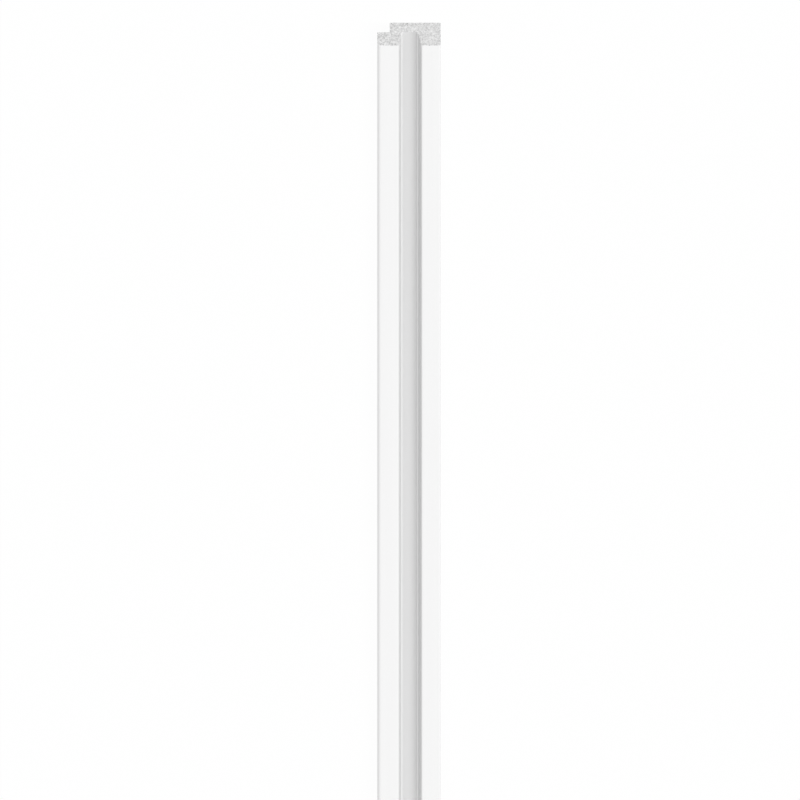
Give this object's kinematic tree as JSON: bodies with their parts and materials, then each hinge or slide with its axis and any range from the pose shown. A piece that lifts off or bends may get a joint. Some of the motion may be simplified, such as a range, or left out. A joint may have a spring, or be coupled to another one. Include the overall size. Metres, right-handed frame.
{
  "type": "wall panel end trim",
  "caption": "Long slatted wall trim in white coated foam polymer: slats beside a shadow groove, a lap rebate on one side and a flat back for glue, closing a run of panels.",
  "frame": {"origin": "on the flat back, under the middle of the bounding box, so the trim lies on its back with its slats up", "axes": "+X across the trim from the joint side with the lap rebate to the free edge, +Y along its length, +Z out of the wall through the slat fronts"},
  "size_m": [0.032, 2.7, 0.012],
  "materials": {
    "coated_foam_polymer": "matt white factory coat on extruded foam, bare sawn foam at both ends"
  },
  "bodies": {
    "root": {"end_trim": "coated_foam_polymer"}
  },
  "joints": []
}
